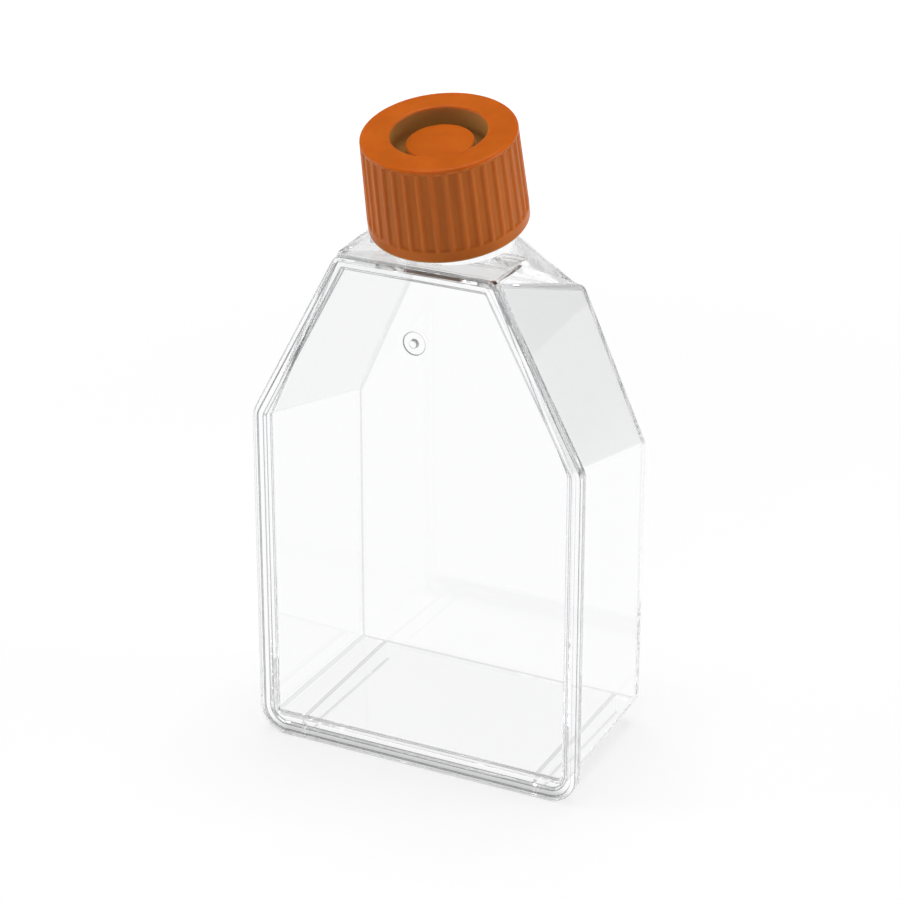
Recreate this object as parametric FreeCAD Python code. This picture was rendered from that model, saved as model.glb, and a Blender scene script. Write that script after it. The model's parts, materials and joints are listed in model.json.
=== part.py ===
import FreeCAD, Part
import math
import os

# Cell culture flask with a canted neck, standing on its foot.
# x runs across the flask, y from the front plate (-) to the growth face (+), z up.
# The origin is at the middle of the footprint, on the surface that the flask stands on.
# Millimetres and degrees.

# Flange and front plate, seen from the front
flange_width = 85.0
flange_height = 127.6
flange_shoulder_height = 85.1
flange_top_width = 39.6
flange_foot_radius = 7.0
flange_shoulder_radius = 5.0
flange_top_radius = 2.5
flange_thickness = 1.3

# Whole flask, stacking rim to growth face
flask_depth = 46.0

# Shell walls: the flange stands proud of them at the front, and they close in towards the back
flange_overhang = 2.55
flange_foot_drop = 3.8
flange_shoulder_rise = 0.6
wall = 1.6
shell_slope = 24.17             # shoulder walls, from upright
shell_foot_radius = 2.6
shell_shoulder_radius = 3.5
shell_top_radius = 2.6
mouth_rebate = 0.3              # the flange's mouth is wider than the shell behind it, for the plate's lip

# Growth face at the back, set in from the flange's outline
growth_side_inset = 3.55
growth_floor_rise = 5.1
growth_shoulder_drop = 10.0
growth_top_drop = 15.2
growth_edge_radius = 1.0

# Deck that carries the neck, and the roof behind it
deck_drop = 0.2                 # below the flange's top edge
deck_length = 14.5
deck_rise = 1.0
deck_form_depth = 12.0          # how far the deck's form reaches down inside the shell
roof_step = 2.6

# Neck, canted away from the growth face
cant = 13.0
neck_bore_radius = 12.7
neck_wall = 2.0
neck_front_gap = 2.8            # back of the flange to the neck's root
neck_sink = 0.8                 # the neck's root, below the deck
neck_length = 28.7
lip_chamfer = 0.4

# Ribs under the floor that the flask stands on
standing_rib_inset = 11.1       # side of the flange to the middle of the rib
standing_rib_thickness = 1.2

# Front plate
plate_border_thickness = 1.7
plate_panel_thickness = 1.5
plate_lip_clearance = 0.15
rim_width = 1.2
rim_step = 0.5
ledge_width = 1.3
panel_step = 0.6
panel_slope_width = 0.6
gate_drop = 18.2                # flange's top edge to the middle of the gate mark
gate_recess_radius = 2.8
gate_recess_depth = 0.25
gate_nub_radius = 1.0
gate_nub_height = 0.7           # above the panel, behind the stacking rim

# Cap
cap_height = 23.4
cap_wall = 1.5                  # top, boss and plug
cap_skirt_wall = 1.05           # between the ribs
cap_draft = 0.6                 # larger radius at the foot than at the top
cap_foot_ring_height = 2.7
cap_top_ring_height = 1.0       # above the ribs, level with their crests
cap_shoulder_radius = 0.65      # softened in three bevels
cap_thread_clearance = 1.75     # radial, neck to skirt, filled by the screw thread
cap_seat_clearance = 0.3        # neck lip to the underside of the cap's top
rib_count = 36
rib_width = 1.2
rib_height = 0.5
groove_width = 3.25
groove_depth = 5.4
boss_drop = 2.6
plug_wall = 1.35
plug_clearance = 0.25           # radial, plug to neck bore
plug_lead = 0.6                 # chamfer that guides the plug in
cap_edge_break = 0.3

# Smallest inside radius, and how far a cutter reaches past the face that it cuts
least_radius = 0.4
cutter_reach = 1.0

# Points this near each other count as one
touch = 1e-3

# Places worked out from the sizes above
front_y = -flask_depth / 2
growth_y = flask_depth / 2
weld_y = front_y + plate_border_thickness
shell_y = weld_y + flange_thickness
plate_back_y = front_y + rim_step + panel_step + plate_panel_thickness
neck_outer_radius = neck_bore_radius + neck_wall


def vec(x, y, z):
    return FreeCAD.Vector(x, y, z)


def polygon_face(points):
    return Part.Face(Part.makePolygon(points + [points[0]]))


def solid_of(faces):
    solid = Part.Solid(Part.Shell(faces))
    if solid.Volume < 0:
        solid.reverse()
    return solid


def rounded_polygon(points, radii):
    """Closed wire through the points, in order, with a tangent arc at each corner."""
    edges = []
    starts = []
    ends = []
    middles = []
    count = len(points)
    for i in range(count):
        corner = points[i]
        to_last = (points[i - 1] - corner).normalize()
        to_next = (points[(i + 1) % count] - corner).normalize()
        half = to_last.getAngle(to_next) / 2
        setback = radii[i] / math.tan(half)
        bisector = (to_last + to_next).normalize()
        starts.append(corner + to_last * setback)
        ends.append(corner + to_next * setback)
        middles.append(corner + bisector * (radii[i] / math.sin(half) - radii[i]))
    for i in range(count):
        edges.append(Part.Arc(starts[i], middles[i], ends[i]).toShape())
        edges.append(Part.LineSegment(ends[i], starts[(i + 1) % count]).toShape())
    return Part.Wire(edges)


def house_corners(y, width, floor, shoulder, top_width, top, inset=0.0):
    """Corners of the flask's outline in the plane y: upright sides, sloped shoulders, flat top."""
    slope = math.atan2((width - top_width) / 2, top - shoulder)
    side = width / 2 - inset
    shoulder_z = shoulder - inset * math.tan(slope / 2)
    top_x = top_width / 2 - inset * math.tan(math.pi / 4 - slope / 2)
    low = floor + inset
    high = top - inset
    return [vec(-side, y, low), vec(side, y, low), vec(side, y, shoulder_z),
            vec(top_x, y, high), vec(-top_x, y, high), vec(-side, y, shoulder_z)]


def corner_radii(foot, shoulder, top, inset):
    foot, shoulder, top = [max(radius - inset, least_radius) for radius in (foot, shoulder, top)]
    return [foot, foot, shoulder, top, top, shoulder]


def flange_outline(y, inset=0.0):
    corners = house_corners(y, flange_width, 0, flange_shoulder_height,
                            flange_top_width, flange_height, inset)
    return rounded_polygon(corners, corner_radii(flange_foot_radius, flange_shoulder_radius,
                                                 flange_top_radius, inset))


def prism(wire, y_end):
    """Solid from a flat outline in a plane of constant y to the plane y_end."""
    face = Part.Face(wire)
    return face.extrude(vec(0, y_end - wire.BoundBox.YMin, 0))


# The shell's outline where it meets the flange; its shoulder walls are flat, so both ends share their slope
shell_width = flange_width - 2 * flange_overhang
shell_shoulder_height = flange_shoulder_height - flange_shoulder_rise
shell_fall = math.tan(math.radians(shell_slope))
deck_front_height = flange_height - deck_drop
deck_front_width = shell_width - 2 * (deck_front_height - shell_shoulder_height) * shell_fall

# The growth face's outline
growth_width = flange_width - 2 * growth_side_inset
growth_shoulder_height = flange_shoulder_height - growth_shoulder_drop
growth_top_height = flange_height - growth_top_drop
growth_top_width = growth_width - 2 * (growth_top_height - growth_shoulder_height) * shell_fall
growth_top_flat = growth_top_width - 2 * shell_top_radius * math.tan(math.radians(90 - shell_slope) / 2)

# Deck and roof
deck_back_y = shell_y + deck_length
deck_back_height = deck_front_height + deck_rise
roof_front_height = deck_back_height - roof_step


def shell_front(y, inset):
    return house_corners(y, shell_width, flange_foot_drop, shell_shoulder_height,
                         deck_front_width, deck_front_height, inset)


def shell_back(y, inset):
    return house_corners(y, growth_width, growth_floor_rise, growth_shoulder_height,
                         growth_top_width, growth_top_height, inset)


def mouth_outline(y, clearance=0.0):
    """Rounded outline of the flange's mouth, or of what fits in it."""
    inset = wall - mouth_rebate + clearance
    return rounded_polygon(shell_front(y, inset), corner_radii(shell_foot_radius, shell_shoulder_radius,
                                                               shell_top_radius, inset))


def between(point, other, y):
    return point + (other - point) * ((y - point.y) / (other.y - point.y))


def shell_form(inset):
    """Tapered box between the flange and the growth face, inset for the cavity."""
    front = shell_front(shell_y, inset)
    back_y = growth_y - inset
    back = [between(point, other, back_y) for point, other in zip(front, shell_back(growth_y, inset))]
    count = len(front)
    faces = [polygon_face(front), polygon_face(back)]
    for i in range(count):
        j = (i + 1) % count
        faces.append(polygon_face([front[i], front[j], back[j], back[i]]))
    form = solid_of(faces)
    radii = corner_radii(shell_foot_radius, shell_shoulder_radius, shell_top_radius, inset)
    for i in range(count):
        form = form.makeFillet(radii[i], edges_along(form, front[i], back[i]))
    rim = [edge for edge in form.Edges if all(abs(vertex.Y - back_y) < touch for vertex in edge.Vertexes)]
    return form.makeFillet(max(growth_edge_radius - inset, least_radius), rim)


def edges_along(form, start, end):
    """Edges of the form whose two ends lie on the line from start to end."""
    direction = (end - start).normalize()
    return [edge for edge in form.Edges
            if all((vertex.Point - start).cross(direction).Length < touch for vertex in edge.Vertexes)]


def deck_form(inset):
    """Deck and the roof behind it: a side profile, at the back as wide as the growth face's flat top."""
    fall = math.atan2(roof_front_height - growth_top_height, growth_y - deck_back_y)
    drop = inset / math.cos(fall)
    step_y = deck_back_y - inset
    end_y = growth_y - growth_edge_radius - inset
    low = growth_top_height - deck_form_depth
    roof = [growth_top_height + (growth_y - y) * math.tan(fall) - drop for y in (step_y, end_y)]
    profile = [vec(-flange_width / 2, y, z) for y, z in (
        (shell_y, low), (shell_y, deck_front_height - inset), (step_y, deck_back_height - inset),
        (step_y, roof[0]), (end_y, roof[1]), (end_y, low))]
    block = polygon_face(profile).extrude(vec(flange_width, 0, 0))
    front = deck_front_width / 2 - inset
    back = growth_top_flat / 2 - inset
    plan = [vec(-front, shell_y, 0), vec(front, shell_y, 0), vec(back, growth_y, 0), vec(-back, growth_y, 0)]
    return block.common(polygon_face(plan).extrude(vec(0, 0, 2 * flange_height)))


# Neck axis: it leans towards the front plate by the cant
lean = math.radians(cant)
neck_axis = vec(0, -math.sin(lean), math.cos(lean))
neck_back = vec(0, math.cos(lean), math.sin(lean))
neck_y = shell_y + neck_front_gap + neck_outer_radius * math.cos(lean)
neck_root = vec(0, neck_y, deck_front_height) - neck_axis * neck_sink


def neck_ring(radius, side):
    """Half ring of the neck's root on one side, closed by its diameter."""
    back = neck_root + neck_back * radius
    front = neck_root - neck_back * radius
    arc = Part.Arc(back, neck_root + vec(side * radius, 0, 0), front).toShape()
    return Part.Wire([arc, Part.LineSegment(front, back).toShape()])


def funnel_form(radius):
    """Fan from the neck's root ring down to the top corners of the growth face.

    Two oblique half cones meet a flat ramp between them. The inside is the same form moved in by the neck's
    wall, so the ramp is about as thick as the neck all the way down.
    """
    thinner = neck_outer_radius - radius
    half = growth_top_flat / 2 - thinner
    foot = vec(0, growth_y - growth_edge_radius - thinner, growth_top_height - thinner / 2)
    ends = [foot + vec(half, 0, 0), foot - vec(half, 0, 0)]
    fans = [Part.makeLoft([neck_ring(radius, side), Part.Vertex(end)], True, True)
            for side, end in zip((1, -1), ends)]
    corners = [neck_root + neck_back * radius, neck_root - neck_back * radius] + ends
    ramp = solid_of([polygon_face([corner for corner in corners if corner is not left_out])
                     for left_out in corners])
    return fans[0].fuse([fans[1], ramp])


def neck_cylinder(radius, length):
    return Part.makeCylinder(radius, length, neck_root, neck_axis)


def standing_rib(side):
    """Rib under the floor, level with the flange's foot, from the flange to the growth face."""
    x = side * (flange_width / 2 - standing_rib_inset) - standing_rib_thickness / 2
    front, back = shell_y - flange_thickness / 2, growth_y - growth_edge_radius
    root = wall / 2
    profile = [vec(x, front, 0), vec(x, back, 0), vec(x, back, growth_floor_rise + root),
               vec(x, front, flange_foot_drop + root)]
    return polygon_face(profile).extrude(vec(standing_rib_thickness, 0, 0))


def make_flask_body():
    """Shell, flange, standing ribs, deck, funnel and neck, moulded in one piece."""
    flange = prism(flange_outline(weld_y), shell_y)
    outside = shell_form(0).fuse([deck_form(0), funnel_form(neck_outer_radius)])
    outside = outside.fuse([neck_cylinder(neck_outer_radius, neck_length), flange,
                            standing_rib(-1), standing_rib(1)]).removeSplitter()
    mouth = prism(mouth_outline(weld_y), shell_y)
    inside = shell_form(wall).fuse([deck_form(wall), funnel_form(neck_bore_radius), mouth])
    inside = inside.fuse(neck_cylinder(neck_bore_radius, 2 * neck_length)).removeSplitter()
    body = outside.cut(inside)
    lip_centre = neck_root + neck_axis * neck_length
    lip = [edge for edge in body.Edges
           if all(abs((vertex.Point - lip_centre).dot(neck_axis)) < touch for vertex in edge.Vertexes)]
    return body.makeChamfer(lip_chamfer, lip)


def make_front_plate():
    """Panel welded to the flange, with a stepped stacking rim and a lip inside the shell's mouth."""
    border = prism(flange_outline(front_y), weld_y)
    lip = prism(mouth_outline(weld_y, plate_lip_clearance), plate_back_y)
    plate = border.fuse(lip).removeSplitter()
    ledge = prism(flange_outline(front_y - cutter_reach, rim_width), front_y + rim_step)
    edge = rim_width + ledge_width
    panel_y = front_y + rim_step + panel_step
    panel = Part.makeLoft([flange_outline(front_y + rim_step, edge),
                           flange_outline(panel_y, edge + panel_slope_width)], True, True)
    plate = plate.cut(ledge).cut(panel)
    gate = vec(0, panel_y, flange_height - gate_drop)
    recess = Part.makeCylinder(gate_recess_radius, gate_recess_depth, gate, vec(0, 1, 0))
    nub = Part.makeCylinder(gate_nub_radius, gate_nub_height + gate_recess_depth,
                            gate - vec(0, gate_nub_height, 0), vec(0, 1, 0))
    return plate.cut(recess).fuse(nub)


# Cap radii: the skirt's bore clears the neck's thread, and the plug fits inside the neck
skirt_bore_radius = neck_outer_radius + cap_thread_clearance
skirt_top_radius = skirt_bore_radius + cap_skirt_wall
skirt_foot_radius = skirt_top_radius + cap_draft
plug_radius = neck_bore_radius - plug_clearance
groove_outer_radius = plug_radius - plug_wall
groove_inner_radius = groove_outer_radius - groove_width


def flat(point):
    return vec(point[0], 0, point[1])


def line_edges(points):
    return [Part.LineSegment(flat(a), flat(b)).toShape() for a, b in zip(points, points[1:])]


def cap_profile():
    """Half section of the cap about its axis, as (radius, height) from the skirt's foot."""
    top_underside = cap_height - cap_wall
    groove_floor = cap_height - groove_depth
    boss_top = cap_height - boss_drop
    core = groove_inner_radius - cap_wall
    plug_foot = groove_floor - cap_wall
    top_ring_foot = cap_height - cap_top_ring_height
    skirt = [(skirt_bore_radius, 0), (skirt_foot_radius + rib_height, 0),
             (skirt_foot_radius + rib_height, cap_foot_ring_height),
             (skirt_foot_radius, cap_foot_ring_height + rib_height),
             (skirt_top_radius, top_ring_foot - rib_height), (skirt_top_radius + rib_height, top_ring_foot)]
    bend = cap_shoulder_radius
    shoulder = [(skirt_top_radius + rib_height - bend * (1 - math.cos(turn)),
                 cap_height - bend * (1 - math.sin(turn)))
                for turn in (math.radians(angle) for angle in (0, 30, 60, 90))]
    top = [(groove_outer_radius + cap_edge_break, cap_height),
           (groove_outer_radius, cap_height - cap_edge_break), (groove_outer_radius, groove_floor),
           (groove_inner_radius, groove_floor), (groove_inner_radius, boss_top), (0, boss_top),
           (0, boss_top - cap_wall), (core, boss_top - cap_wall), (core, plug_foot),
           (plug_radius - plug_lead, plug_foot), (plug_radius, plug_foot + plug_lead),
           (plug_radius, top_underside), (skirt_bore_radius, top_underside), (skirt_bore_radius, 0)]
    return Part.Wire(line_edges(skirt + shoulder + top))


def cap_rib(angle):
    """One grip rib on the skirt, drafted with it and sunk into its surface."""
    sections = []
    for height, skirt in ((cap_foot_ring_height, skirt_foot_radius),
                          (cap_height - cap_top_ring_height, skirt_top_radius)):
        root = skirt - cap_skirt_wall / 2
        crest = skirt + rib_height
        corners = [vec(root, -rib_width / 2, height), vec(skirt, -rib_width / 2, height),
                   vec(crest, -rib_width / 4, height), vec(crest, rib_width / 4, height),
                   vec(skirt, rib_width / 2, height), vec(root, rib_width / 2, height)]
        sections.append(Part.makePolygon(corners + [corners[0]]))
    rib = Part.makeLoft(sections, True, True)
    rib.rotate(vec(0, 0, 0), vec(0, 0, 1), angle)
    return rib


def make_cap():
    """One-piece screw cap with a plug that seals inside the neck's bore."""
    cap = Part.Face(cap_profile()).revolve(vec(0, 0, 0), vec(0, 0, 1), 360)
    cap = cap.fuse([cap_rib(360 * i / rib_count) for i in range(rib_count)])
    seat = neck_length + cap_seat_clearance - (cap_height - cap_wall)
    cap.rotate(vec(0, 0, 0), vec(1, 0, 0), cant)
    cap.translate(neck_root + neck_axis * seat)
    return cap


os.makedirs("parts", exist_ok=True)
parts = {"flask_body": make_flask_body(), "front_plate": make_front_plate(), "cap": make_cap()}
for name, shape in parts.items():
    shape.exportStep("parts/%s.step" % name)
    box = shape.BoundBox
    print(name, shape.isValid(), len(shape.Solids), "solids", round(shape.Volume / 1000, 2), "cm3",
          [round(value, 2) for value in (box.XMin, box.YMin, box.ZMin, box.XMax, box.YMax, box.ZMax)])
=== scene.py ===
import json
import math

import bmesh
import bpy
from mathutils import Matrix, Vector


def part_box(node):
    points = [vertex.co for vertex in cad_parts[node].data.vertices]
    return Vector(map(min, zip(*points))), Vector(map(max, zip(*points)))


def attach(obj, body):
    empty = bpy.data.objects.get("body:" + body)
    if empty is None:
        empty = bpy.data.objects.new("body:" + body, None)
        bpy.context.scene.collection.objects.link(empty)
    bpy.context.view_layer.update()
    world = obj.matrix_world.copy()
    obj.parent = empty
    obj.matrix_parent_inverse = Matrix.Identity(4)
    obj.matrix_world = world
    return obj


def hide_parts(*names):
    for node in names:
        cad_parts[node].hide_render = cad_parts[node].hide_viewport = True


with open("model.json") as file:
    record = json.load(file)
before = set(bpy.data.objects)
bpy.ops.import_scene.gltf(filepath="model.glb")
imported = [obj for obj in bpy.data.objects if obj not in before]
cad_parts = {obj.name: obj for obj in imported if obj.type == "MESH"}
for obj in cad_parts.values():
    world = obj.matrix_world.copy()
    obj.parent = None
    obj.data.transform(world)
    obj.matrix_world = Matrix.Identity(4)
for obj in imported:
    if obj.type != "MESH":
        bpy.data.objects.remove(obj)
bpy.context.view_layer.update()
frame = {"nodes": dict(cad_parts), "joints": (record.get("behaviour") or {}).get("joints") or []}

mm = 0.001

# places worked out from the frame
plateLow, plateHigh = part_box("front_plate")
capLow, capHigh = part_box("cap")
neckAxis = Vector(frame["joints"][0]["axis"]).normalized()
neckLean = math.atan2(-neckAxis.y, neckAxis.z)
capFootRadius = (capHigh.x - capLow.x) / 2
capFoot = Vector((0, capHigh.y - capFootRadius * math.cos(neckLean),
                  capLow.z + capFootRadius * math.sin(neckLean)))
# stands on the cap's foot with z along the neck, so heights on the cap and the threads start there
neckFrame = Matrix.Translation(capFoot) @ Matrix.Rotation(neckLean, 4, "X")
print("frame ready, neck leans", round(math.degrees(neckLean), 1), "degrees")


def addNode(tree, kind, x, y, **settings):
    node = tree.nodes.new(kind)
    node.location = (x, y)
    for key, value in settings.items():
        setattr(node, key, value)
    return node


def addSocket(tree, name, direction, kind, value=None):
    socket = tree.interface.new_socket(name=name, in_out=direction, socket_type="NodeSocket" + kind)
    if value is not None:
        socket.default_value = value


def addMath(tree, operation, first, second=None, x=0, y=0):
    node = addNode(tree, "ShaderNodeMath", x, y, operation=operation)
    for index, value in enumerate((first, second)):
        if value is None:
            continue
        if isinstance(value, (int, float)):
            node.inputs[index].default_value = value
        else:
            tree.links.new(value, node.inputs[index])
    return node.outputs[0]


def addMix(tree, share, first, second, x, y):
    node = addNode(tree, "ShaderNodeMixShader", x, y)
    for index, value in enumerate((share, first, second)):
        tree.links.new(value, node.inputs[index])
    return node.outputs[0]


# soft step: low up to start, high from end on
def addRange(tree, value, start, end, low, high, x, y):
    node = addNode(tree, "ShaderNodeMapRange", x, y, interpolation_type="SMOOTHSTEP")
    for name, number in (("From Min", start), ("From Max", end), ("To Min", low), ("To Max", high)):
        node.inputs[name].default_value = number
    tree.links.new(value, node.inputs["Value"])
    return node.outputs["Result"]


# fine surface of a moulded plastic: flow marks, grain and how rough they leave it
def buildMouldGrain():
    tree = bpy.data.node_groups.new("mouldGrain", "ShaderNodeTree")
    addSocket(tree, "Vector", "INPUT", "Vector")
    for name in ("Flow Scale", "Grain Scale", "Roughness Low", "Roughness High", "Grain Share"):
        addSocket(tree, name, "INPUT", "Float")
    for name in ("Flow", "Roughness", "Height"):
        addSocket(tree, name, "OUTPUT", "Float")
    inputs = addNode(tree, "NodeGroupInput", -800, 0)
    outputs = addNode(tree, "NodeGroupOutput", 500, 0)

    # melt flows along the mould, so its marks run upright
    stretch = addNode(tree, "ShaderNodeVectorMath", -600, 200, operation="MULTIPLY")
    stretch.inputs[1].default_value = (1.0, 1.0, 0.18)
    flow = addNode(tree, "ShaderNodeTexNoise", -400, 200)
    flow.inputs["Detail"].default_value = 4.0
    grain = addNode(tree, "ShaderNodeTexNoise", -400, -150)
    grain.inputs["Detail"].default_value = 2.0
    tree.links.new(inputs.outputs["Vector"], stretch.inputs[0])
    tree.links.new(stretch.outputs[0], flow.inputs["Vector"])
    tree.links.new(inputs.outputs["Flow Scale"], flow.inputs["Scale"])
    tree.links.new(inputs.outputs["Vector"], grain.inputs["Vector"])
    tree.links.new(inputs.outputs["Grain Scale"], grain.inputs["Scale"])

    rough = addNode(tree, "ShaderNodeMapRange", 0, 200)
    tree.links.new(flow.outputs["Fac"], rough.inputs["Value"])
    rough.inputs["From Min"].default_value = 0.3
    rough.inputs["From Max"].default_value = 0.7
    tree.links.new(inputs.outputs["Roughness Low"], rough.inputs["To Min"])
    tree.links.new(inputs.outputs["Roughness High"], rough.inputs["To Max"])
    blend = addNode(tree, "ShaderNodeMix", 0, -100)
    tree.links.new(inputs.outputs["Grain Share"], blend.inputs["Factor"])
    tree.links.new(flow.outputs["Fac"], blend.inputs["A"])
    tree.links.new(grain.outputs["Fac"], blend.inputs["B"])
    tree.links.new(flow.outputs["Fac"], outputs.inputs["Flow"])
    tree.links.new(rough.outputs["Result"], outputs.inputs["Roughness"])
    tree.links.new(blend.outputs["Result"], outputs.inputs["Height"])
    return tree


mouldGrain = buildMouldGrain()


def newMaterial(name, preview, finish):
    material = bpy.data.materials.new(name)
    material.use_nodes = True
    material.diffuse_color = preview
    tree = material.node_tree
    tree.nodes.clear()
    shader = addNode(tree, "ShaderNodeBsdfPrincipled", 300, 0)
    output = addNode(tree, "ShaderNodeOutputMaterial", 700, 0)
    tree.links.new(shader.outputs[0], output.inputs["Surface"])
    coords = addNode(tree, "ShaderNodeTexCoord", -800, 0)
    grain = addNode(tree, "ShaderNodeGroup", -500, 0, node_tree=mouldGrain, name="grain")
    grain.inputs["Flow Scale"].default_value = finish["flowScale"]
    grain.inputs["Grain Scale"].default_value = finish["grainScale"]
    grain.inputs["Grain Share"].default_value = finish["grainShare"]
    grain.inputs["Roughness Low"].default_value = finish["roughnessLow"]
    grain.inputs["Roughness High"].default_value = finish["roughnessHigh"]
    tree.links.new(coords.outputs["Object"], grain.inputs["Vector"])
    bump = addNode(tree, "ShaderNodeBump", 0, -300)
    bump.inputs["Strength"].default_value = finish["bumpStrength"]
    bump.inputs["Distance"].default_value = finish["bumpDistance"]
    tree.links.new(grain.outputs["Height"], bump.inputs["Height"])
    tree.links.new(grain.outputs["Roughness"], shader.inputs["Roughness"])
    tree.links.new(bump.outputs["Normal"], shader.inputs["Normal"])
    return material, tree, shader


clearPlastic = {
    "tint": (0.987, 0.988, 0.99, 1),
    "paintedEdgeShade": (0.21, 0.22, 0.23, 1),  # painted shade on tight edges, standing in for the light that is bent away there
    "ior": 1.59,
    "roughnessLow": 0.0,
    "roughnessHigh": 0.03,
    "flowScale": 45.0,
    "grainScale": 900.0,
    "grainShare": 0.1,
    "bumpStrength": 0.02,
    "bumpDistance": 0.2 * mm,
}


def buildClearStyrene():
    material, tree, shader = newMaterial("clearStyrene", (0.9, 0.93, 0.95, 0.3), clearPlastic)
    # painted shade on tight edges and sloped walls, mixed into the clear tint
    edgeShadeAmount = addNode(tree, "ShaderNodeAttribute", -300, 400, attribute_name="edgeShadeAmount")
    tint = addNode(tree, "ShaderNodeMix", 0, 350, data_type="RGBA")
    tint.inputs["A"].default_value = clearPlastic["tint"]
    tint.inputs["B"].default_value = clearPlastic["paintedEdgeShade"]
    tree.links.new(edgeShadeAmount.outputs["Fac"], tint.inputs["Factor"])
    tree.links.new(tint.outputs["Result"], shader.inputs["Base Color"])
    shader.inputs["IOR"].default_value = clearPlastic["ior"]
    shader.inputs["Transmission Weight"].default_value = 1.0
    return material


capPlastic = {
    "deep": (0.56, 0.112, 0.003, 1),
    "light": (0.66, 0.138, 0.005, 1),
    "paintedSheen": (0.54, 0.28, 0.085, 1),  # painted sheen, a paler brown: the groove and inside
    "skirtSheen": 0.22,               # share of painted sheen on the skirt
    "recess": (0.30, 0.13, 0.03, 1),  # painted shade on the floor of the groove
    "specular": 0.12,
    "depth": 2.5 * mm,                # how far light soaks into the plastic
    "soak": (1.0, 0.35, 0.1),
    "soakShare": 0.6,
    "roughnessLow": 0.28,
    "roughnessHigh": 0.36,
    "flowScale": 120.0,
    "grainScale": 2600.0,
    "grainShare": 0.7,
    "bumpStrength": 0.12,
    "bumpDistance": 0.05 * mm,
}


def buildOrangeCap():
    material, tree, shader = newMaterial("orangeCap", (0.8, 0.36, 0.08, 1), capPlastic)
    ramp = addNode(tree, "ShaderNodeValToRGB", -100, 250)
    ramp.color_ramp.elements[0].position = 0.3
    ramp.color_ramp.elements[0].color = capPlastic["deep"]
    ramp.color_ramp.elements[1].position = 0.7
    ramp.color_ramp.elements[1].color = capPlastic["light"]
    tree.links.new(tree.nodes["grain"].outputs["Flow"], ramp.inputs["Fac"])
    # painted shade on the groove's floor and painted sheen in the groove, inside, on the skirt and
    # foot, mixed over the flow colour
    recess = addNode(tree, "ShaderNodeAttribute", -500, 700, attribute_name="recess")
    sheenAndShade = addNode(tree, "ShaderNodeMix", -100, 600, data_type="RGBA")
    sheenAndShade.inputs["A"].default_value = capPlastic["paintedSheen"]
    sheenAndShade.inputs["B"].default_value = capPlastic["recess"]
    tree.links.new(recess.outputs["Fac"], sheenAndShade.inputs["Factor"])
    paintedSheen = addNode(tree, "ShaderNodeAttribute", -500, 500, attribute_name="paintedSheen")
    finish = addNode(tree, "ShaderNodeMix", 100, 350, data_type="RGBA")
    tree.links.new(paintedSheen.outputs["Fac"], finish.inputs["Factor"])
    tree.links.new(ramp.outputs["Color"], finish.inputs["A"])
    tree.links.new(sheenAndShade.outputs["Result"], finish.inputs["B"])
    tree.links.new(finish.outputs["Result"], shader.inputs["Base Color"])
    shader.inputs["Specular IOR Level"].default_value = capPlastic["specular"]
    shader.inputs["Subsurface Weight"].default_value = capPlastic["soakShare"]
    shader.inputs["Subsurface Radius"].default_value = capPlastic["soak"]
    shader.inputs["Subsurface Scale"].default_value = capPlastic["depth"]
    return material


clearStyrene = buildClearStyrene()
orangeCap = buildOrangeCap()
print("materials ready")


def addObject(name, data):
    piece = bpy.data.objects.new(name, data)
    bpy.context.scene.collection.objects.link(piece)
    return piece


def freshMesh(bm, name):
    mesh = bpy.data.meshes.new(name)
    bm.verts.index_update()
    faces = [[vert.index for vert in face.verts] for face in bm.faces]
    mesh.from_pydata([vert.co[:] for vert in bm.verts], [], faces)
    bm.free()
    return mesh


# modifiers become plain mesh
def settle(piece):
    depsgraph = bpy.context.evaluated_depsgraph_get()
    mesh = bpy.data.meshes.new_from_object(piece.evaluated_get(depsgraph))
    piece.modifiers.clear()
    piece.data = mesh
    return piece


def runTree(piece, tree, values):
    modifier = piece.modifiers.new(tree.name, "NODES")
    modifier.node_group = tree
    for socket in tree.interface.items_tree:
        if socket.item_type == "SOCKET" and socket.in_out == "INPUT" and socket.name in values:
            modifier[socket.identifier] = values[socket.name]
    settle(piece)


# real mesh and its material, at the end of a geometry tree
def endTree(tree, geometry, inputs, outputs):
    real = addNode(tree, "GeometryNodeRealizeInstances", 950, 200)
    paint = addNode(tree, "GeometryNodeSetMaterial", 1100, 200)
    tree.links.new(geometry, real.inputs[0])
    tree.links.new(real.outputs[0], paint.inputs["Geometry"])
    tree.links.new(inputs.outputs["Material"], paint.inputs["Material"])
    tree.links.new(paint.outputs[0], outputs.inputs[0])


# a tree that takes a mesh, the named sizes and a material
def startTree(name, sizes):
    tree = bpy.data.node_groups.new(name, "GeometryNodeTree")
    addSocket(tree, "Geometry", "INPUT", "Geometry")
    for label, value in sizes.items():
        addSocket(tree, label, "INPUT", "Float", value)
    addSocket(tree, "Material", "INPUT", "Material")
    addSocket(tree, "Geometry", "OUTPUT", "Geometry")
    inputs = addNode(tree, "NodeGroupInput", -1400, 0)
    outputs = addNode(tree, "NodeGroupOutput", 1300, 200)
    return tree, inputs, outputs


def faceOutwards(piece):
    bm = bmesh.new()
    bm.from_mesh(piece.data)
    bmesh.ops.remove_doubles(bm, verts=bm.verts, dist=0.001 * mm)
    bmesh.ops.recalc_face_normals(bm, faces=bm.faces)
    bm.to_mesh(piece.data)
    bm.free()


neckThread = {
    "Core Radius": 14.7 * mm,  # the wall it stands on
    "Depth": 1.4 * mm,
    "Sink": 0.3 * mm,          # how far its root is buried in the wall
    "Root Width": 2.0 * mm,
    "Crest Width": 0.9 * mm,
    "Pitch": 4.2 * mm,
    "Turns": 2.4,
    "Start Height": 8.4 * mm,
    "Start Angle": 0.6,
    "Run Out": 0.05,           # share of its length in which each end thins
}

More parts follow.
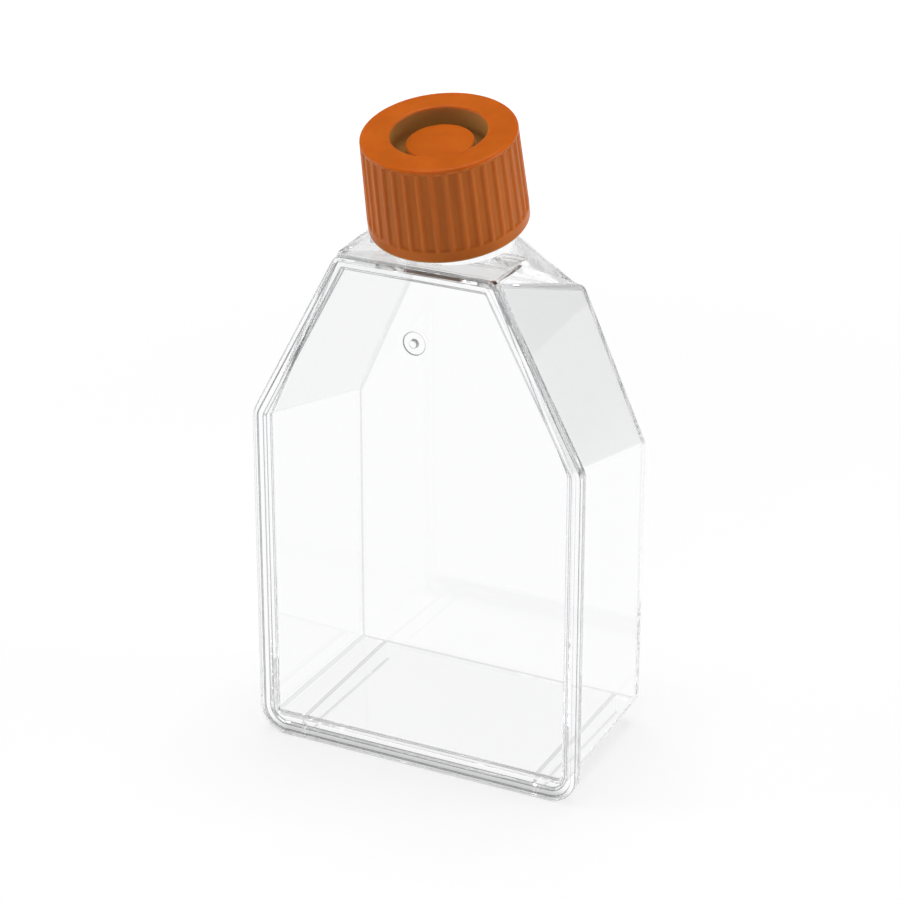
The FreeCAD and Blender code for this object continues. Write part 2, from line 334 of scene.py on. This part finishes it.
capThread = {
    "Core Radius": 16.45 * mm,
    "Depth": -1.25 * mm,
    "Sink": -0.3 * mm,
    "Root Width": 1.5 * mm,
    "Crest Width": 0.7 * mm,
    "Pitch": 4.2 * mm,
    "Turns": 2.2,
    "Start Height": 6.3 * mm,
    "Start Angle": 0.6,
    "Run Out": 0.05,
}


# ridge that climbs round a wall, on the neck and inside the cap; a negative depth points inwards
def buildThreadTree():
    tree, inputs, outputs = startTree("screwThread", neckThread)
    link = tree.links.new

    # helix, thinned towards its two ends but never to a point
    helix = addNode(tree, "GeometryNodeCurveSpiral", -700, 300)
    helix.inputs["Resolution"].default_value = 72  # points in a turn
    link(inputs.outputs["Turns"], helix.inputs["Rotations"])
    link(inputs.outputs["Core Radius"], helix.inputs["Start Radius"])
    link(inputs.outputs["Core Radius"], helix.inputs["End Radius"])
    rise = addMath(tree, "MULTIPLY", inputs.outputs["Pitch"], inputs.outputs["Turns"], -900, 300)
    link(rise, helix.inputs["Height"])
    upright = addNode(tree, "GeometryNodeSetCurveNormal", -500, 300, mode="Z_UP")
    link(helix.outputs[0], upright.inputs["Curve"])
    along = addNode(tree, "GeometryNodeSplineParameter", -900, 0)
    rest = addMath(tree, "SUBTRACT", 1.0, along.outputs["Factor"], -700, -50)
    nearEnd = addMath(tree, "MINIMUM", along.outputs["Factor"], rest, -550, 0)
    share = addMath(tree, "DIVIDE", nearEnd, inputs.outputs["Run Out"], -400, 0)
    swell = addMath(tree, "MINIMUM", share, 1.0, -250, 0)
    size = addMath(tree, "MAXIMUM", swell, 0.05, -100, 0)

    # section: root sunk in the wall, narrower crest; its x points at the axis
    section = addNode(tree, "GeometryNodeCurvePrimitiveQuadrilateral", 0, 0, mode="POINTS")
    crest = addMath(tree, "MULTIPLY", inputs.outputs["Depth"], -1.0, -700, -400)
    root = inputs.outputs["Sink"]
    corners = ((root, "Root Width", -0.5), (root, "Root Width", 0.5),
               (crest, "Crest Width", 0.5), (crest, "Crest Width", -0.5))
    for index, (out, width, half) in enumerate(corners):
        point = addNode(tree, "ShaderNodeCombineXYZ", -300, -300 - 150 * index)
        link(out, point.inputs["X"])
        side = addMath(tree, "MULTIPLY", inputs.outputs[width], half, -500, -300 - 150 * index)
        link(side, point.inputs["Y"])
        link(point.outputs[0], section.inputs["Point %d" % (index + 1)])
    ridge = addNode(tree, "GeometryNodeCurveToMesh", 200, 200)
    ridge.inputs["Fill Caps"].default_value = True
    link(upright.outputs[0], ridge.inputs["Curve"])
    link(section.outputs[0], ridge.inputs["Profile Curve"])
    link(size, ridge.inputs["Scale"])

    place = addNode(tree, "GeometryNodeTransform", 400, 200)
    shift = addNode(tree, "ShaderNodeCombineXYZ", 200, -100)
    turn = addNode(tree, "ShaderNodeCombineXYZ", 200, -250)
    link(inputs.outputs["Start Height"], shift.inputs["Z"])
    link(inputs.outputs["Start Angle"], turn.inputs["Z"])
    link(shift.outputs[0], place.inputs["Translation"])
    link(turn.outputs[0], place.inputs["Rotation"])
    link(ridge.outputs[0], place.inputs["Geometry"])
    endTree(tree, place.outputs[0], inputs, outputs)
    return tree


screwThread = buildThreadTree()


def buildThread(name, values, material):
    piece = addObject(name, bpy.data.meshes.new(name))
    runTree(piece, screwThread, dict(values, Material=material))
    faceOutwards(piece)
    piece.data.transform(neckFrame)
    return piece


# millimetres and radii; the widest radius, of the foot ring, comes from the frame
capShape = {
    "bore": 16.45,
    "inWall": 0.5,       # from the bore to well inside the skirt's wall
    "skirtTop": 17.49,
    "skirtFoot": 18.1,
    "skirtRows": 5,      # rows of points up the skirt, which the ribs are drawn out of
    "ringHeight": 2.7,
    "height": 23.39,
    "topRing": 1.0,
    "shoulder": 0.7,
    "grooveOuter": 11.1,
    "grooveInner": 7.85,
    "grooveDepth": 5.4,
    "bossDrop": 2.6,
    "wall": 1.5,
    "plug": 12.45,
    "plugLead": 0.6,
    "ribs": 36,
    "ribSteps": 12,      # points across each rib and valley
    "ribHeight": 0.5,
    "ribWidth": 0.52,    # share of the pitch
    "sheenFade": 0.5,    # depth in which the groove's painted sheen begins
    "recessFade": 0.7,   # height in which the painted shade on its floor ends
    "footFace": 0.5,     # height up to which the foot ring gets the painted sheen too
}


# points of a closed section, with an arc at each rounded corner and a support point each side of it
def roundedSection(corners, support=0.12, fineness=4):
    points = []
    count = len(corners)
    for index, (radius, height, bend) in enumerate(corners):
        here = Vector((radius, height))
        if bend == 0:
            points.append(here)
            continue
        before = (Vector(corners[index - 1][:2]) - here).normalized()
        after = (Vector(corners[(index + 1) % count][:2]) - here).normalized()
        half = before.angle(after) / 2
        setback = bend / math.tan(half)
        centre = here + (before + after).normalized() * bend / math.sin(half)
        start = here + before * setback - centre
        sweep = start.angle_signed(here + after * setback - centre)
        steps = max(2, round(abs(sweep) * bend ** 0.5 * fineness))
        points.append(here + before * (setback + support))
        for step in range(steps + 1):
            points.append(centre + Matrix.Rotation(-sweep * step / steps, 2) @ start)
        points.append(here + after * (setback + support))
    return points


# closed solid turned about z, with one point where the section meets the axis
def turnedMesh(name, section, steps):
    bm = bmesh.new()
    rings = []
    for radius, height in section:
        if radius == 0:
            rings.append([bm.verts.new((0, 0, height * mm))])
            continue
        turns = [2 * math.pi * step / steps for step in range(steps)]
        points = [(radius * math.cos(turn), radius * math.sin(turn), height) for turn in turns]
        rings.append([bm.verts.new([value * mm for value in point]) for point in points])
    for ring, other in zip(rings, rings[1:] + rings[:1]):
        if len(ring) == 1 and len(other) == 1:
            continue
        for step in range(steps):
            following = (step + 1) % steps
            if len(ring) == 1:
                bm.faces.new((ring[0], other[following], other[step]))
            elif len(other) == 1:
                bm.faces.new((ring[step], ring[following], other[0]))
            else:
                bm.faces.new((ring[step], ring[following], other[following], other[step]))
    bmesh.ops.recalc_face_normals(bm, faces=bm.faces)
    return freshMesh(bm, name)


# grip ribs that swell out of the turned skirt
def buildGripTree(sizes):
    tree, inputs, outputs = startTree("gripRibs", sizes)
    link = tree.links.new
    place = addNode(tree, "GeometryNodeInputPosition", -1400, 400)
    split = addNode(tree, "ShaderNodeSeparateXYZ", -1200, 400)
    link(place.outputs[0], split.inputs[0])
    flat = addNode(tree, "ShaderNodeCombineXYZ", -1000, 500)
    link(split.outputs["X"], flat.inputs["X"])
    link(split.outputs["Y"], flat.inputs["Y"])
    reach = addNode(tree, "ShaderNodeVectorMath", -800, 500, operation="LENGTH")
    link(flat.outputs[0], reach.inputs[0])
    radius = reach.outputs["Value"]
    height = split.outputs["Z"]

    # one crest for each rib, flat valleys between
    angle = addMath(tree, "ARCTAN2", split.outputs["Y"], split.outputs["X"], -1000, 300)
    phase = addMath(tree, "MULTIPLY", angle, inputs.outputs["Ribs"], -800, 300)
    wave = addMath(tree, "COSINE", phase, None, -600, 300)
    halfRib = addMath(tree, "MULTIPLY", inputs.outputs["Rib Width"], math.pi, -800, 150)
    edge = addMath(tree, "COSINE", halfRib, None, -600, 150)
    crest = addNode(tree, "ShaderNodeMapRange", -400, 300, interpolation_type="SMOOTHERSTEP")
    link(wave, crest.inputs["Value"])
    link(edge, crest.inputs["From Min"])
    crest.inputs["From Max"].default_value = 1.0

    # the skirt's own slope, which the ribs follow
    skirt = addNode(tree, "ShaderNodeMapRange", -400, 0)
    link(height, skirt.inputs["Value"])
    link(inputs.outputs["Foot Height"], skirt.inputs["From Min"])
    link(inputs.outputs["Top Height"], skirt.inputs["From Max"])
    link(inputs.outputs["Skirt Foot"], skirt.inputs["To Min"])
    link(inputs.outputs["Skirt Top"], skirt.inputs["To Max"])
    rise = addMath(tree, "MULTIPLY", crest.outputs[0], inputs.outputs["Rib Height"], 0, 100)
    wanted = addMath(tree, "ADD", skirt.outputs[0], rise, 200, 100)
    grown = addMath(tree, "MAXIMUM", wanted, radius, 350, 100)
    scale = addMath(tree, "SUBTRACT", addMath(tree, "DIVIDE", grown, radius, 500, 100), 1.0, 650, 100)
    push = addNode(tree, "ShaderNodeVectorMath", 650, 300, operation="SCALE")
    link(flat.outputs[0], push.inputs[0])
    link(scale, push.inputs["Scale"])

    # only the outside moves, and the rings at its foot and top stay plain
    outside = addMath(tree, "GREATER_THAN", radius, inputs.outputs["In Wall"], 200, 600)
    below = addMath(tree, "LESS_THAN", height, inputs.outputs["Top Height"], 200, 450)
    above = addMath(tree, "GREATER_THAN", height, inputs.outputs["Ring Height"], 200, 750)
    between = addMath(tree, "MULTIPLY", below, above, 400, 600)
    chosen = addMath(tree, "MULTIPLY", outside, between, 550, 600)
    move = addNode(tree, "GeometryNodeSetPosition", 800, 300)
    link(inputs.outputs["Geometry"], move.inputs["Geometry"])
    link(chosen, move.inputs["Selection"])
    link(push.outputs[0], move.inputs["Offset"])
    endTree(tree, move.outputs[0], inputs, outputs)
    return tree


# painted sheen in the groove, inside the skirt and under its foot, less of it outside, and painted
# shade on the groove's floor
def markCapSheenAndShade(mesh, floor, under):
    c = capShape
    near = 0.1  # so that points on the groove's own walls count as in it
    inGroove = (c["grooveInner"] - near, c["grooveOuter"] + near)
    paintedSheen = mesh.attributes.new("paintedSheen", "FLOAT", "POINT")
    recess = mesh.attributes.new("recess", "FLOAT", "POINT")
    for vert, sheen, deep in zip(mesh.vertices, paintedSheen.data, recess.data):
        reach = vert.co.xy.length / mm
        height = vert.co.z / mm
        if inGroove[0] < reach < inGroove[1] and height > floor - near:
            sheen.value = min(1, max(0, (c["height"] - near - height) / c["sheenFade"]))
            deep.value = min(1, max(0, (floor + c["recessFade"] - height) / c["recessFade"]))
        elif height < c["footFace"] or (height < under and abs(reach - c["bore"]) < c["inWall"]):
            sheen.value = 1.0
        elif reach > c["bore"] + c["inWall"] and height < c["height"] - c["shoulder"] / 2:
            sheen.value = capPlastic["skirtSheen"]


def buildCap():
    c = capShape
    ring = capFootRadius / mm
    top = c["height"]
    floor = top - c["grooveDepth"]
    boss = top - c["bossDrop"]
    under = top - c["wall"]
    core = c["grooveInner"] - c["wall"]
    plugFoot = floor - c["wall"]
    rim = c["skirtTop"] + c["ribHeight"]
    skirtLow = c["ringHeight"] + c["ribHeight"]
    ribTop = top - c["topRing"]
    skirtHigh = ribTop - c["ribHeight"]

    # radius, height and bend of each corner: up the outside, over the top and down to the plug
    corners = [(c["bore"], 0, 0.25), (ring, 0, 0.4), (ring, c["ringHeight"], 0.3),
               (c["skirtFoot"], skirtLow, 0.3)]
    for row in range(c["skirtRows"]):
        share = (row + 0.5) / c["skirtRows"]
        corners.append((c["skirtFoot"] + (c["skirtTop"] - c["skirtFoot"]) * share,
                        skirtLow + (skirtHigh - skirtLow) * share, 0))
    corners += [(c["skirtTop"], skirtHigh, 0.3), (rim, ribTop, 0.15), (rim, top, c["shoulder"])]
    corners += [(c["grooveOuter"], top, 0.5), (c["grooveOuter"], floor, 0.6),
                (c["grooveInner"], floor, 0.6), (c["grooveInner"], boss, 0.45), (0, boss, 0)]
    corners += [(0, boss - c["wall"], 0), (core, boss - c["wall"], 0.4), (core, plugFoot, 0.4),
                (c["plug"] - c["plugLead"], plugFoot, 0.2), (c["plug"], plugFoot + c["plugLead"], 0.2),
                (c["plug"], under, 0.3), (c["bore"], under, 0.4)]

    steps = c["ribs"] * c["ribSteps"]
    piece = addObject("screwCap", turnedMesh("screwCap", roundedSection(corners), steps))
    grip = {
        "Ribs": float(c["ribs"]),
        "Rib Height": c["ribHeight"] * mm,
        "Rib Width": c["ribWidth"],
        "In Wall": (c["bore"] + c["inWall"]) * mm,
        "Skirt Foot": c["skirtFoot"] * mm,
        "Skirt Top": c["skirtTop"] * mm,
        "Ring Height": c["ringHeight"] * mm,
        "Foot Height": skirtLow * mm,
        "Top Height": ribTop * mm,
    }
    runTree(piece, buildGripTree(grip), dict(grip, Material=orangeCap))
    markCapSheenAndShade(piece.data, floor, under)
    piece.data.transform(neckFrame)
    piece.data.shade_smooth()
    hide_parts("cap")
    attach(piece, "cap")
    print("screwCap", len(piece.data.polygons), "faces")


buildCap()
innerThread = buildThread("capThread", capThread, orangeCap)
innerThread.data.shade_flat()
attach(innerThread, "cap")


clearMoulding = {
    "mergeGap": 0.002 * mm,
    "flatAngle": 0.3,             # degrees, faces that bend less than this become one
    "edgeRound": 0.15 * mm,
    "edgeAngle": 32,              # degrees, only sharper edges are rounded
    "borderThickness": 1.7 * mm,  # front plate, rim to weld
    "weldDepth": 0.02 * mm,       # the plate and the flange melt into each other
    "weldNear": 0.01 * mm,        # points this near the weld belong to it
    "tightEdge": 0.3 * mm,        # edges this sharp get the full painted shade
    "softEdge": 1.3 * mm,         # and ones this round get none
    "flangeDepth": 6 * mm,        # from the rim to just behind the flange
    "backEdges": 0.35,            # share of the painted edge shade kept behind the flange
    "paintedShoulderShade": 0.1,          # painted grey shade on the sloped walls
    "leanAcross": 0.5,            # a wall that faces this far across
    "leanUp": 0.25,               # and this far up or down is a sloped one
}


# a CAD body as one closed mesh with whole flat faces
def mergedCopy(node, name):
    bm = bmesh.new()
    bm.from_mesh(frame["nodes"][node].data)
    bmesh.ops.remove_doubles(bm, verts=bm.verts, dist=clearMoulding["mergeGap"])
    flat = math.radians(clearMoulding["flatAngle"])
    bmesh.ops.dissolve_limit(bm, angle_limit=flat, verts=bm.verts, edges=bm.edges)
    openEdges = sum(1 for edge in bm.edges if not edge.is_manifold)
    print(node, len(bm.faces), "faces,", openEdges, "open edges")
    return freshMesh(bm, name)


def buildMoulding(node):
    piece = addObject(node + "Moulding", mergedCopy(node, node + "Moulding"))
    piece.data.materials.append(clearStyrene)
    if node == "front_plate":
        weldY = plateLow.y + clearMoulding["borderThickness"]
        for vert in piece.data.vertices:
            if abs(vert.co.y - weldY) < clearMoulding["weldNear"]:
                vert.co.y += clearMoulding["weldDepth"]
    bevel = piece.modifiers.new("edgeRound", "BEVEL")
    bevel.width = clearMoulding["edgeRound"]
    bevel.segments = 2
    bevel.limit_method = "ANGLE"
    bevel.angle_limit = math.radians(clearMoulding["edgeAngle"])
    return settle(piece)


# painted shade at each face, darker the more tightly the surface is bent there, from its width and its
# angle to the next one
def paintEdgeShade(piece):
    tight = clearMoulding["tightEdge"]
    soft = clearMoulding["softEdge"]
    flangeBack = plateLow.y + clearMoulding["flangeDepth"]
    bm = bmesh.new()
    bm.from_mesh(piece.data)
    longest = []
    widths = []
    strength = []
    marks = []
    for face in bm.faces:
        length = max(edge.calc_length() for edge in face.edges)
        longest.append(length)
        widths.append(face.calc_area() / length)
        strength.append(1.0 if face.calc_center_median().y < flangeBack else clearMoulding["backEdges"])
        across, upright = abs(face.normal.x), abs(face.normal.z)
        sloped = across > clearMoulding["leanAcross"] and upright > clearMoulding["leanUp"]
        marks.append(clearMoulding["paintedShoulderShade"] if sloped else 0.0)
    for edge in bm.edges:
        angle = edge.calc_face_angle(0)
        if angle < 0.01:  # flat
            continue
        between = sum(widths[face.index] for face in edge.link_faces) / 2
        for face in edge.link_faces:
            if edge.calc_length() < longest[face.index] / 3:  # the face only ends here
                continue
            bend = max(between, widths[face.index]) / angle
            share = min(1.0, (soft - bend) / (soft - tight))
            marks[face.index] = max(marks[face.index], strength[face.index] * share)
    bm.free()
    edgeShadeAmount = piece.data.attributes.new("edgeShadeAmount", "FLOAT", "FACE")
    edgeShadeAmount.data.foreach_set("value", marks)
    print("edge lines on", sum(1 for mark in marks if mark > 0.1), "faces")


# the plate is welded on and the thread is moulded on, so all three are one clear body
def buildClearFlask():
    piece = buildMoulding("flask_body")
    piece.name = "clearFlask"
    added = [buildMoulding("front_plate"), buildThread("neckThread", neckThread, clearStyrene)]
    for other in added:
        fuse = piece.modifiers.new("fuse", "BOOLEAN")
        fuse.operation = "UNION"
        fuse.solver = "EXACT"
        fuse.object = other
    settle(piece)
    for other in added:
        bpy.data.objects.remove(other)
    piece.data.shade_smooth()
    weighted = piece.modifiers.new("flatWalls", "WEIGHTED_NORMAL")
    weighted.weight = 100
    settle(piece)
    paintEdgeShade(piece)
    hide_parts("flask_body", "front_plate")
    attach(piece, "flask")
    print("clearFlask", len(piece.data.polygons), "faces")


buildClearFlask()

room = {
    "floorSize": 3.0,      # metres, middle to side
    "floorDrop": 0.1 * mm,
    "floorColour": (0.86, 0.86, 0.86, 1),
    "floorShare": 0.35,    # of the floor's own light and shade that is seen, the rest is white paper
    "paper": 1.15,         # how bright that paper is
    "paperNear": 0.2,      # metres, from here on the paper takes over
    "paperFar": 0.7,       # and past here it is all there is
    "nearFloor": 0.5,      # metres, mirrored as white out to here
    "farFloor": 1.6,
    "farShade": 0.5,       # how bright the far floor is where it is mirrored
    "lowSky": 0.3,         # how bright the sky is where it is mirrored
    "highSky": 0.15,
    "skyRise": (0.45, 0.7),
    "throughFlask": 0.85,  # how bright the far floor and the sky are through the flask
    "fill": 0.15,          # light from all round on what isn't clear
    "stripCore": 0.3,      # share of a dark strip's width in which it is fully dark
    "footShade": 0.48,     # how bright it is under the flask's front foot, seen through the flask
    "footWide": 8.5 * mm,
    "ribShade": 0.74,      # and under its two ribs
    "ribAcross": 31.4 * mm,
    "ribWide": 1.2 * mm,
}


# which rays are the camera's own, which pass through the flask, and which meet it in any way
def addRays(tree, x, y):
    path = addNode(tree, "ShaderNodeLightPath", x, y)
    passing = path.outputs["Is Transmission Ray"]
    meeting = addMath(tree, "MAXIMUM", path.outputs["Is Glossy Ray"], passing, x + 200, y)
    return path.outputs["Is Camera Ray"], passing, meeting


# soft strip where something stands: its darkness in the middle, 0 past its edge
def addStrip(tree, value, middle, wide, shade, x, y):
    off = addMath(tree, "ABSOLUTE", addMath(tree, "SUBTRACT", value, middle, x, y), None, x + 150, y)
    return addRange(tree, off, wide * room["stripCore"], wide, 1 - shade, 0.0, x + 300, y)


# how much of its brightness the floor keeps under the flask's front foot and its ribs
def addFootShade(tree, coords):
    split = addNode(tree, "ShaderNodeSeparateXYZ", -1800, -700)
    tree.links.new(coords, split.inputs[0])
    along = split.outputs["Y"]
    across = addMath(tree, "ABSOLUTE", split.outputs["X"], None, -1600, -700)
    depth = addMath(tree, "ABSOLUTE", along, None, -1600, -1100)
    besideFoot = addMath(tree, "LESS_THAN", across, plateHigh.x, -1400, -700)
    besideRib = addMath(tree, "LESS_THAN", depth, -plateLow.y, -1400, -1100)
    foot = addStrip(tree, along, plateLow.y, room["footWide"], room["footShade"], -1400, -900)
    rib = addStrip(tree, across, room["ribAcross"], room["ribWide"], room["ribShade"], -1400, -1300)
    underFoot = addMath(tree, "MULTIPLY", foot, besideFoot, -900, -900)
    underRib = addMath(tree, "MULTIPLY", rib, besideRib, -900, -1100)
    shade = addMath(tree, "MAXIMUM", underFoot, underRib, -750, -1000)
    return addMath(tree, "SUBTRACT", 1.0, shade, -600, -1000)


def buildFloor():
    bm = bmesh.new()
    drop = Matrix.Translation((0, 0, -room["floorDrop"]))
    bmesh.ops.create_grid(bm, x_segments=1, y_segments=1, size=room["floorSize"], matrix=drop)
    floor = addObject("floor", freshMesh(bm, "floor"))
    material = bpy.data.materials.new("paleFloor")
    material.use_nodes = True
    tree = material.node_tree
    tree.nodes.clear()
    seenRay, throughRay, flaskRay = addRays(tree, -800, 200)
    coords = addNode(tree, "ShaderNodeTexCoord", -1000, -200).outputs["Object"]
    reach = addNode(tree, "ShaderNodeVectorMath", -800, -200, operation="LENGTH")
    tree.links.new(coords, reach.inputs[0])
    distance = reach.outputs["Value"]

    # what the camera sees: the floor's own light and shade, and white paper further out
    diffuse = addNode(tree, "ShaderNodeBsdfDiffuse", -300, 100)
    diffuse.inputs["Color"].default_value = room["floorColour"]
    paper = addNode(tree, "ShaderNodeEmission", -300, -50)
    paper.inputs["Strength"].default_value = room["paper"]
    paperShare = 1 - room["floorShare"]
    whiter = addRange(tree, distance, room["paperNear"], room["paperFar"], paperShare, 1.0, -600, 450)
    share = addMath(tree, "MULTIPLY", seenRay, whiter, -300, 300)
    seen = addMix(tree, share, diffuse.outputs[0], paper.outputs[0], 0, 100)

    # what the flask and the cap mirror or let through
    farShade = room["farShade"]
    falloff = addRange(tree, distance, room["nearFloor"], room["farFloor"], 1.0, farShade, -600, -200)
    through = addMath(tree, "MULTIPLY", throughRay, room["throughFlask"], -300, -250)
    lit = addMath(tree, "MAXIMUM", falloff, through, -150, -250)
    glow = addNode(tree, "ShaderNodeEmission", 0, -100)
    strength = addMath(tree, "MULTIPLY", lit, addFootShade(tree, coords), -100, -400)
    tree.links.new(strength, glow.inputs["Strength"])

    whole = addMix(tree, flaskRay, seen, glow.outputs[0], 250, 0)
    output = addNode(tree, "ShaderNodeOutputMaterial", 500, 0)
    tree.links.new(whole, output.inputs["Surface"])
    floor.data.materials.append(material)


def addAreaLight(name, size, power, place, aim):
    data = bpy.data.lights.new(name, "AREA")
    data.shape = "SQUARE"
    data.size = size
    data.energy = power
    lamp = addObject(name, data)
    lamp.location = place
    lamp.rotation_euler = (Vector(aim) - Vector(place)).to_track_quat("-Z", "Y").to_euler()


def buildWorld():
    world = bpy.data.worlds.new("studio")
    bpy.context.scene.world = world
    world.use_nodes = True
    tree = world.node_tree
    tree.nodes.clear()
    coords = addNode(tree, "ShaderNodeTexCoord", -1000, 0)
    split = addNode(tree, "ShaderNodeSeparateXYZ", -800, 0)
    tree.links.new(coords.outputs["Generated"], split.inputs[0])
    low, high = room["skyRise"]
    overhead = addRange(tree, split.outputs["Z"], low, high, room["lowSky"], room["highSky"], -600, 100)
    seenRay, throughRay, flaskRay = addRays(tree, -600, -300)
    through = addMath(tree, "MULTIPLY", throughRay, room["throughFlask"], -400, -450)
    fill = addNode(tree, "ShaderNodeBackground", -200, 100)
    fill.inputs["Strength"].default_value = room["fill"]
    sky = addNode(tree, "ShaderNodeBackground", -200, -50)
    tree.links.new(addMath(tree, "MAXIMUM", overhead, through, -300, -50), sky.inputs["Strength"])
    white = addNode(tree, "ShaderNodeBackground", -200, -200)
    white.inputs["Color"].default_value = (1, 1, 1, 1)
    light = addMix(tree, flaskRay, fill.outputs[0], sky.outputs[0], 0, 50)
    whole = addMix(tree, seenRay, light, white.outputs[0], 200, 0)
    output = addNode(tree, "ShaderNodeOutputWorld", 400, 0)
    tree.links.new(whole, output.inputs["Surface"])


lamps = {
    "overheadLamp": {"size": 0.7, "power": 6.4, "place": (-0.02, 0.08, 1.05)},
    "leftLamp": {"size": 0.4, "power": 2.0, "place": (-0.75, -0.30, 0.30)},
    "rightLamp": {"size": 0.4, "power": 2.5, "place": (0.75, 0.25, 0.22)},
    "frontLamp": {"size": 0.6, "power": 1.3, "place": (0.10, -0.90, 0.55)},
}
lampAim = (0, 0, 0.11)

buildFloor()
buildWorld()
for lampName, lamp in lamps.items():
    addAreaLight(lampName, lamp["size"], lamp["power"], lamp["place"], lampAim)
print("room lit by", len(lamps), "lamps")


# degrees and metres, with the lens and its sensor in millimetres
view = {
    "sensor": 36,
    "azimuth": 26.9,
    "elevation": 23.8,
    "distance": 0.695,
    "lens": 121.6,
    "aimAcross": 9.7 * mm,
    "aimHeight": 85.4 * mm,
}


def buildCamera():
    data = bpy.data.cameras.new("camera")
    data.lens = view["lens"]
    data.sensor_width = view["sensor"]
    data.clip_start = 0.01
    data.clip_end = 20
    camera = addObject("camera", data)
    around = math.radians(view["azimuth"])
    above = math.radians(view["elevation"])
    aim = Vector((view["aimAcross"], plateLow.y, view["aimHeight"]))
    level = math.cos(above)
    away = Vector((math.sin(around) * level, -math.cos(around) * level, math.sin(above)))
    camera.location = aim + away * view["distance"]
    camera.rotation_euler = (-away).to_track_quat("-Z", "Y").to_euler()
    bpy.context.scene.camera = camera


buildCamera()
bpy.context.scene.view_settings.view_transform = "Standard"

# light crosses and turns inside the thick clear rims many times before it gets out
lightPaths = {"max_bounces": 120, "glossy_bounces": 100, "transmission_bounces": 120}
for limit, bounces in lightPaths.items():
    setattr(bpy.context.scene.cycles, limit, bounces)

print("scene ready")
